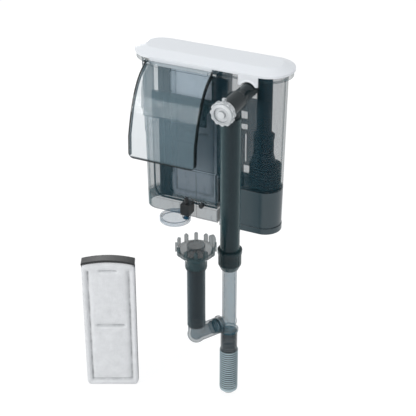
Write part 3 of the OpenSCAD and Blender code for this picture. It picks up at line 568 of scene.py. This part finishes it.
# The strainer's corners and ring crests take a pale colour: a painted highlight where they would catch the
# light, so the slots between read darker.
STRAINER_SMOKE = clear_plastic(
    "smoky strainer styrene with painted ring highlights", face=(0.015, 0.03, 0.04), side=(0.02, 0.045, 0.055), corner=(0.45, 0.58, 0.62),
    alpha=0.45, side_alpha=0.92, corner_alpha=0.75, corner_width=0.0003, crest=RING_HIGHLIGHT_CREST,
)
ELBOW_SMOKE = clear_plastic(
    "smoky elbow styrene", face=(0.03, 0.10, 0.14), side=(0.03, 0.08, 0.09), corner=INK,
    alpha=0.38, side_alpha=0.88, specular=0.2,
)
TUBE_SMOKE = clear_plastic(
    "smoky tube styrene", face=(0.02, 0.19, 0.27), side=(0.02, 0.09, 0.12), corner=INK,
    alpha=0.27, side_alpha=0.84, specular=0.2,
)
CRYSTAL = clear_plastic(
    "nearly clear styrene", face=(0.02, 0.22, 0.42), side=(0.02, 0.10, 0.15), corner=INK,
    alpha=0.25, side_alpha=0.80, specular=0.2,
)
GUIDE_CLEAR = clear_plastic(
    "nearly clear guide styrene", face=(0.32, 0.44, 0.50), side=(0.03, 0.06, 0.07), corner=INK,
    alpha=0.205, side_alpha=0.70, bands=GUIDE_BANDS, specular=0.2,
)
KNOB_CLEAR = clear_plastic(
    "clear knob styrene", face=(0.88, 0.90, 0.91), side=(0.34, 0.37, 0.39), corner=(0.20, 0.23, 0.24),
    alpha=0.78, side_alpha=0.95, corner_alpha=0.7, roughness=0.04, bump_height=0.003, bump_scale=260.0,
    bump_strength=0.7, corner_width=0.0007, specular=0.5,
)
print("clear plastics made")

# %% [markdown]
# The solid mouldings are simpler: one colour, a cloudy mottle that is only just visible, a roughness that
# varies with handling, and dust on the upward faces.

# %% Solid finishes
DUST_GREY = (0.55, 0.55, 0.54, 1)


def solid_plastic(name, colour, roughness, mottle_scale=70.0, contrast=0.4, bump_height=0.0003, dust=0.12,
                  metallic=0.0, coat=0.0):
    """Opaque moulding, rubber or metal in one colour, a little uneven, with its corners softened."""
    material, tree = new_material(name)
    shader = add(tree, "ShaderNodeBsdfPrincipled",
                 {"IOR": 1.5, "Metallic": metallic, "Coat Weight": coat})
    mottle = place_group(tree, MOTTLE, Scale=mottle_scale, Contrast=contrast)
    fine = place_group(tree, MOTTLE, Scale=mottle_scale * 14, Contrast=1.0)
    dusty = place_group(tree, DUST, Scale=140.0, Amount=dust)
    tint = two_colours(tree, mottle, "Value", [c * 0.93 for c in colour], [min(1, c * 1.05) for c in colour])
    cover = add(tree, "ShaderNodeMix", data_type="RGBA")
    cover.inputs["B"].default_value = DUST_GREY
    join(tree, dusty, "Mask", cover, "Factor")
    join(tree, tint, "Result", cover, "A")
    join(tree, cover, "Result", shader, "Base Color")
    rough = add(tree, "ShaderNodeMapRange", {"To Min": roughness * 0.8, "To Max": min(1.0, roughness * 1.25)})
    join(tree, mottle, "Value", rough, "Value")
    join(tree, rough, 0, shader, "Roughness")
    turned = place_group(tree, CORNER, Radius=0.0005, Gain=3.0)
    bump = add(tree, "ShaderNodeBump", {"Strength": 0.25, "Distance": bump_height})
    join(tree, fine, "Value", bump, "Height")
    join(tree, turned, "Normal", bump, "Normal")
    join(tree, bump, 0, shader, "Normal")
    join(tree, shader, 0, add(tree, "ShaderNodeOutputMaterial"), 0)
    return material


WHITE_LID = solid_plastic("white lid plastic", (0.84, 0.86, 0.88), 0.32, contrast=0.15, dust=0.04)
MOTOR_DARK = solid_plastic("dark motor plastic", (0.035, 0.062, 0.074), 0.30, coat=0.08)
BLACK_PLASTIC = solid_plastic("black moulded plastic", (0.012, 0.014, 0.015), 0.35)
IMPELLER_WHITE = solid_plastic("impeller plastic", (0.6, 0.6, 0.58), 0.4)
RUBBER = solid_plastic("seal rubber", (0.012, 0.012, 0.012), 0.75, bump_height=0.0005)
STEEL = solid_plastic("stainless steel", (0.55, 0.55, 0.56), 0.28, metallic=1.0)
FERRITE = solid_plastic("bonded ferrite", (0.04, 0.04, 0.042), 0.6)
POTTING = solid_plastic("coil and potting", (0.12, 0.045, 0.02), 0.55)

# %% [markdown]
# Fleece is a tangle of fine white fibres. It has no gloss, a faint sheen at its outline, clouds where it is
# thicker or thinner, and a grey cast where it is pressed flat along the welds.

# %% Fleece finish
WELD_GREY = (0.20, 0.21, 0.22, 1)


def fleece_material(name, dark, pale):
    """Felted fibre between two colours, grey and broken along its welds."""
    material, tree = new_material(name)
    shader = add(tree, "ShaderNodeBsdfPrincipled",
                 {"Roughness": 0.95, "Sheen Weight": 0.25, "Sheen Roughness": 0.6, "Specular IOR Level": 0.2})
    cloud = place_group(tree, MOTTLE, Scale=110.0, Contrast=1.3)
    fibre = place_group(tree, MOTTLE, Scale=900.0, Contrast=1.6)
    broken = place_group(tree, MOTTLE, Scale=75.0, Contrast=3.0)
    weld = add(tree, "ShaderNodeAttribute", attribute_name="weld")
    tint = two_colours(tree, cloud, "Value", dark, pale)
    floor_part = add(tree, "ShaderNodeMapRange", {"To Min": 0.30, "To Max": 1.0})
    pressed = add(tree, "ShaderNodeMath", operation="MULTIPLY", use_clamp=True)
    grey = add(tree, "ShaderNodeMix", data_type="RGBA")
    grey.inputs["B"].default_value = WELD_GREY
    join(tree, broken, "Value", floor_part, "Value")
    join(tree, weld, "Fac", pressed, 0)
    join(tree, floor_part, 0, pressed, 1)
    join(tree, tint, "Result", grey, "A")
    join(tree, pressed, 0, grey, "Factor")
    join(tree, grey, "Result", shader, "Base Color")
    bump = add(tree, "ShaderNodeBump", {"Strength": 0.5, "Distance": 0.0008})
    join(tree, fibre, "Value", bump, "Height")
    join(tree, bump, 0, shader, "Normal")
    join(tree, shader, 0, add(tree, "ShaderNodeOutputMaterial"), 0)
    return material


# One fleece in two copies. The chamber's is painted brighter and bluer, as painted light against the shade of
# the lid and walls around it. The spare's, out in the open, is painted darker.
BRIGHTENED_FLEECE = fleece_material("chamber fleece painted brighter", (0.74, 0.83, 0.94), (0.84, 0.91, 0.985))
DARKENED_SPARE_FLEECE = fleece_material("spare fleece painted darker", (0.70, 0.705, 0.71), (0.87, 0.875, 0.88))

# %% Dress the nodes
FINISH = {
    "smoky_clear": SMOKY,
    "dark_smoke": DARK_SMOKE,
    "dark_plastic": MOTOR_DARK,
    "crystal": CRYSTAL,
    "white_plastic": WHITE_LID,
    "rubber_black": RUBBER,
    "steel": STEEL,
    "magnet": FERRITE,
    "potting": POTTING,
    "fleece": BRIGHTENED_FLEECE,
    "black_plastic": BLACK_PLASTIC,
}
OWN_FINISH = {
    "valve_knob": KNOB_CLEAR,
    "impeller": IMPELLER_WHITE,
    "flow_baffle": BAFFLE_SMOKE,
    "skimmer_crown": CROWN_SMOKE,
    "lower_intake_tube": TUBE_SMOKE,
    "flow_guide": GUIDE_CLEAR,
    "skimmer_elbow": ELBOW_SMOKE,
    "siphon_elbow": ARM_SMOKE,
    "skimmer_riser": RISER_SMOKE,
    "strainer": STRAINER_SMOKE,
    "pump_casing": INNER_SMOKE,
    "pump_cover": INNER_SMOKE,
    "siphon_leg": INNER_SMOKE,
}


def dress(node_name, material):
    """Puts one material on every slot of a CAD node."""
    mesh = nodes[node_name].data
    if not mesh.materials:
        mesh.materials.append(material)
    for index in range(len(mesh.materials)):
        mesh.materials[index] = material


for entry in frame["record"]["subparts"]:
    node_name = entry["node"]
    dress(node_name, OWN_FINISH.get(node_name, FINISH[entry["material_slot"]]))

# %% [markdown]
# A cartridge is a stiff board with a layer of polyester fleece on each side. The fleece is welded down in
# thin lines: one along each long side, one along the foot, and two short ones across. Between the welds it
# stands up softly. That is what cloth does, so one layer is simulated: a thin closed slab is blown up a
# little while its welds and its back are held. It is simulated at ten times its size, where the cloth
# solver's usual values behave well, and the result is used four times.

# %% Fleece sizes
fleece_low, fleece_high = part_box("cartridge_floss")
FLEECE_W = fleece_high.x - fleece_low.x
FLEECE_H = fleece_high.z - fleece_low.z
START_T = 3.3 * MM
ARCH_RISE = 4.0 * MM
CORNER_R = 5.0 * MM
WELD_SIDE = 0.118       # where the long welds lie, as a part of the width
WELD_FOOT = 0.048       # where the foot's weld lies, as a part of the height
WELD_TOP = 0.92         # where the long welds end
SHORT_WELDS = ((0.925, 0.36, 0.64), (0.495, 0.26, 0.76))        # height, start and end across
HELD_REACH = 0.9 * MM   # how far from a weld the cloth is held
SIM_SCALE = 10.0
SIM_FRAMES = 20
print("fleece", round(FLEECE_W / MM, 1), "by", round(FLEECE_H / MM, 1), "mm")


def layer_edge(x, height):
    """Lowest and highest point of the layer's outline at x, with an arched top and round corners."""
    inset = FLEECE_W / 2 - abs(x)
    lost = 0.0
    if inset < CORNER_R:
        lost = CORNER_R - math.sqrt(max(0.0, CORNER_R ** 2 - (CORNER_R - inset) ** 2))
    arch = ARCH_RISE * (2 * x / FLEECE_W) ** 2
    return lost, height - arch - lost


def weld_distance(u, v):
    """Distance in metres from the nearest weld of a point at u across and v up, both 0 to 1."""
    def to_line(along, across, start, end, length, span):
        """Distance to a line from start to end, all in parts of the layer's length and span."""
        beyond = max(start - along, 0.0, along - end) * length
        return math.hypot(beyond, across * span)
    cross_welds = ((WELD_FOOT, WELD_SIDE, 1 - WELD_SIDE), *SHORT_WELDS)
    sides = (WELD_SIDE, 1 - WELD_SIDE)
    lines = [to_line(v, u - side, WELD_FOOT, WELD_TOP, FLEECE_H, FLEECE_W) for side in sides]
    lines += [to_line(u, v - height, start, end, FLEECE_W, FLEECE_H) for height, start, end in cross_welds]
    return min(lines)


# %% One fleece layer, blown up between its welds
def flat_layer():
    """A closed slab in XZ, its back at y = 0 and its front at y = -START_T."""
    bm = bmesh.new()
    bmesh.ops.create_grid(bm, x_segments=34, y_segments=96, size=0.5)
    for vert in bm.verts:
        x = vert.co.x * FLEECE_W
        low, high = layer_edge(x, FLEECE_H)
        vert.co = Vector((x, 0.0, low + (vert.co.y + 0.5) * (high - low)))
    back = bm.faces[:]
    made = bmesh.ops.extrude_face_region(bm, geom=back)
    front = [item for item in made["geom"] if isinstance(item, bmesh.types.BMVert)]
    bmesh.ops.translate(bm, verts=front, vec=(0, -START_T, 0))
    bmesh.ops.recalc_face_normals(bm, faces=bm.faces)
    return bm


def weld_parts(co):
    """Where a point of the layer lies, as parts of its width and its height."""
    return (co.x / FLEECE_W + 0.5, co.z / FLEECE_H)


def blown_layer():
    """The slab after cloth pressure, as a mesh that is still SIM_SCALE times its size."""
    bm = flat_layer()
    held = []
    for vert in bm.verts:
        is_back = vert.co.y > -START_T / 2
        held.append(1.0 if is_back or weld_distance(*weld_parts(vert.co)) < HELD_REACH else 0.0)
    bmesh.ops.scale(bm, vec=(SIM_SCALE,) * 3, verts=bm.verts)
    mesh = bpy.data.meshes.new("fleece layer")
    bm.to_mesh(mesh)
    bm.free()
    pad = show("fleece layer", mesh)
    pins = pad.vertex_groups.new(name="held")
    for index, weight in enumerate(held):
        if weight:
            pins.add([index], weight, "REPLACE")
    cloth = pad.modifiers.new("cloth", "CLOTH")
    cloth.settings.quality = 6
    cloth.settings.mass = 0.3
    cloth.settings.tension_stiffness = 6
    cloth.settings.compression_stiffness = 6
    cloth.settings.bending_stiffness = 0.8
    cloth.settings.use_pressure = True
    cloth.settings.uniform_pressure_force = 4.0
    cloth.settings.vertex_group_mass = "held"
    cloth.settings.effector_weights.gravity = 0.0
    cloth.point_cache.frame_start = 1
    cloth.point_cache.frame_end = SIM_FRAMES
    for step in range(1, SIM_FRAMES + 1):
        bpy.context.scene.frame_set(step)
    graph = bpy.context.evaluated_depsgraph_get()
    result = bpy.data.meshes.new_from_object(pad.evaluated_get(graph))
    bpy.data.objects.remove(pad)
    bpy.context.scene.frame_set(1)
    return result


layer_mesh = blown_layer()
print("fleece layer blown to", round(max(-v.co.y for v in layer_mesh.vertices) / SIM_SCALE / MM, 2), "mm")

# %% [markdown]
# The simulated layer is only the start of the fleece. Its swelling is capped, so that it stays in the space
# the cartridge has, the welds are pressed down to thin hard lines, and a fine unevenness of the wool goes on
# top. How close each point is to a weld is kept as an attribute, because the material darkens there.

# %% Both fleece pieces
BOARD_HALF = 1.25 * MM
SWELL_CAP = 1.5 * MM
WELD_T = 0.9 * MM
WELD_REACH = 2.6 * MM
WELD_SHADE = 1.7 * MM       # how far from a weld the wool is still grey
COARSE_WOOL = 0.30          # heights of the wool's unevenness, in millimetres
FINE_WOOL = 0.16
SPARE_TURN = math.radians(25)


def finish_layer(bm, seed):
    """Scales the blown layer back, caps it, presses the welds in and roughens the wool."""
    weld = bm.verts.layers.float.new("weld")
    bmesh.ops.scale(bm, vec=(1 / SIM_SCALE,) * 3, verts=bm.verts)
    for vert in bm.verts:
        out = -vert.co.y
        if out < START_T * 0.5:
            continue
        extra = out - START_T
        if extra > 0:
            out = START_T + SWELL_CAP * (1 - math.exp(-extra / SWELL_CAP))
        near = weld_distance(*weld_parts(vert.co))
        open_part = min(1.0, near / WELD_REACH)
        open_part = open_part * open_part * (3 - 2 * open_part)
        wool = noise.noise(vert.co * 160 + Vector((seed, 0, 0))) * COARSE_WOOL * MM
        wool += noise.noise(vert.co * 420 + Vector((0, seed, 0))) * FINE_WOOL * MM
        vert.co.y = -(WELD_T + (out + wool - WELD_T) * open_part)
        vert[weld] = max(0.0, 1.0 - near / WELD_SHADE)


def fleece_piece(name, node, body, turn, finish):
    """Two layers back to back in the place of a node, as one piece."""
    low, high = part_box(node)
    middle = Vector(((low.x + high.x) / 2, (low.y + high.y) / 2, low.z))
    layers = []
    for index, half_turn in enumerate((0.0, math.pi)):
        layer = bmesh.new()
        layer.from_mesh(layer_mesh)
        finish_layer(layer, 3.1 + 5.7 * index + 11.3 * turn)
        bmesh.ops.translate(layer, verts=layer.verts, vec=(0, -BOARD_HALF, 0))
        layer.transform(Matrix.Translation(middle) @ Matrix.Rotation(turn + half_turn, 4, "Z"))
        for face in layer.faces:
            face.smooth = True
        layers.append(layer)
    whole = one_mesh(name, layers)
    whole.materials.append(finish)
    piece = show(name, whole)
    soft = piece.modifiers.new("soften", "SUBSURF")
    soft.levels = soft.render_levels = 1
    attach(piece, body)
    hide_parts(node)
    print(name, len(whole.polygons), "faces on", body)


fleece_piece("cartridge_fleece", "cartridge_floss", "cartridge", 0.0, BRIGHTENED_FLEECE)
fleece_piece("spare_cartridge_fleece", "spare_cartridge_floss", "spare_cartridge", SPARE_TURN, DARKENED_SPARE_FLEECE)
bpy.data.meshes.remove(layer_mesh)

# %% [markdown]
# Behind the housing's front wall stand two thin partitions. The one before the cartridge darkens the wall
# from just under the weir down. Below its step it is thinner and has a raised rim with one round corner. The
# one before the pump is darker, with two windows and a slot beside the intake and a post beside the weir.
# Both are drawn as flat faces. The pump's is cut along straight lines and what isn't plastic is taken out;
# then every face gets its thickness and is leaned like the wall.

# %% Partition helpers
LIP_REACH = 13.6 * MM           # from the lip's front to the wall's outer face at the rim
WALL_GAP = 2.5 * MM             # from there to the partition's face
LEAN = 0.016                    # of the wall, inward for each millimetre down
rim_top = body_high.z
wall_face = body_low.y + LIP_REACH
SHEET_T = 1.2 * MM


def flat_rectangle(low_x, high_x, low_z, high_z):
    """One flat face, in millimetres from the rim's middle."""
    bm = bmesh.new()
    bmesh.ops.create_grid(bm, x_segments=1, y_segments=1, size=0.5)
    bmesh.ops.scale(bm, vec=(high_x - low_x, high_z - low_z, 1), verts=bm.verts)
    bmesh.ops.translate(bm, vec=((low_x + high_x) / 2, (low_z + high_z) / 2, 0), verts=bm.verts)
    return bm


def take_out(bm, xs, zs, plastic):
    """Cuts the face at every x and z given, then removes the pieces where plastic(x, z) is false."""
    for place, normal in [((x, 0, 0), (1, 0, 0)) for x in xs] + [((0, z, 0), (0, 1, 0)) for z in zs]:
        everything = bm.verts[:] + bm.edges[:] + bm.faces[:]
        bmesh.ops.bisect_plane(bm, geom=everything, plane_co=place, plane_no=normal)
    empty = [f for f in bm.faces if not plastic(*f.calc_center_median()[:2])]
    bmesh.ops.delete(bm, geom=empty, context="FACES")
    bmesh.ops.dissolve_limit(bm, angle_limit=0.01, verts=bm.verts, edges=bm.edges)


def rim_and_middle(bm, width):
    """Splits a flat face into its middle and the rim around it, left open at the top, as two bmeshes."""
    rim = bm.copy()
    for sheet, keep_middle in ((bm, True), (rim, False)):
        bmesh.ops.inset_region(
            sheet, faces=sheet.faces[:], thickness=width, use_boundary=True, use_even_offset=True
        )
        middle = max(sheet.faces, key=lambda f: f.calc_area())
        around = [f for f in sheet.faces if f is not middle]
        top = max(around, key=lambda f: f.calc_center_median().y)
        bmesh.ops.delete(sheet, geom=around if keep_middle else [middle, top], context="FACES")
    return bm, rim


def stand_up(bm, thickness):
    """Gives a flat sheet its thickness, stands it in the housing and leans it with the wall."""
    made = bmesh.ops.extrude_face_region(bm, geom=bm.faces[:])
    raised = [item for item in made["geom"] if isinstance(item, bmesh.types.BMVert)]
    bmesh.ops.translate(bm, vec=(0, 0, thickness / MM), verts=raised)
    for vert in bm.verts:
        x, z, depth = vert.co
        inward = WALL_GAP - LEAN * z * MM + depth * MM
        vert.co = Vector((body_mid + x * MM, wall_face + inward, rim_top + z * MM))
    bmesh.ops.recalc_face_normals(bm, faces=bm.faces)


def partition(name, sheets, materials):
    """One piece from standing sheets, each in the material of its turn, riding on the tank's body."""
    for turn, sheet in enumerate(sheets):
        for face in sheet.faces:
            face.material_index = turn
    mesh = one_mesh(name, sheets)
    for material in materials:
        mesh.materials.append(material)
    piece = show(name, mesh)
    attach(piece, "tank_body")
    print(name, len(mesh.polygons), "faces")


# %% Cartridge partition, in millimetres from the rim's middle
PLATE_LEFT = -67.0
PLATE_RIGHT = 24.0
PLATE_TOP = -41.0
STEP_Z = -130.0
RIM_RIGHT = 11.2
RIM_FOOT = -173.7
RIM_CORNER = 12.0
RIM_WIDTH = 1.4

upper = flat_rectangle(PLATE_LEFT, PLATE_RIGHT, STEP_Z, PLATE_TOP)
lower = flat_rectangle(PLATE_LEFT, RIM_RIGHT, RIM_FOOT, STEP_Z)
corner = min(lower.verts, key=lambda v: v.co.x + v.co.y)
bmesh.ops.bevel(
    lower, geom=[corner], offset=RIM_CORNER, segments=8, profile=0.5, affect="VERTICES", material=-1
)
lower, rim = rim_and_middle(lower, RIM_WIDTH)
stand_up(upper, SHEET_T)
stand_up(lower, SHEET_T / 2)
stand_up(rim, SHEET_T)
partition("front_partition", [upper, lower, rim], [PANEL_SMOKE, LOWER_PANEL, DARK_SMOKE])

# %% Pump partition, in millimetres from the rim's middle
POST_LEFT = 6.0
POST_TOP = -13.0
PUMP_RIGHT = 63.5
PUMP_TOP = -29.0
PUMP_FOOT = -110.0
TAIL_RIGHT = 43.5
TAIL_FOOT = -137.0
OPENINGS = (                    # left, right, foot and top of two windows and a slot
    (40.5, 48.0, -54.5, -45.5),
    (40.5, 48.0, -67.0, -60.5),
    (45.0, 47.0, -106.0, -72.0),
)


def before_pump(x, z):
    """True where the pump's partition has plastic."""
    if x < PLATE_RIGHT:
        return z > PLATE_TOP
    if z > PUMP_TOP or (z < PUMP_FOOT and x > TAIL_RIGHT):
        return False
    return not any(left < x < right and foot < z < top for left, right, foot, top in OPENINGS)


cuts_x = {PLATE_RIGHT, TAIL_RIGHT}.union(*(opening[:2] for opening in OPENINGS))
cuts_z = {PLATE_TOP, PUMP_TOP, PUMP_FOOT}.union(*(opening[2:] for opening in OPENINGS))
side = flat_rectangle(POST_LEFT, PUMP_RIGHT, TAIL_FOOT, POST_TOP)
take_out(side, sorted(cuts_x), sorted(cuts_z), before_pump)
stand_up(side, SHEET_T)
partition("pump_partition", [side], [PUMP_SMOKE])
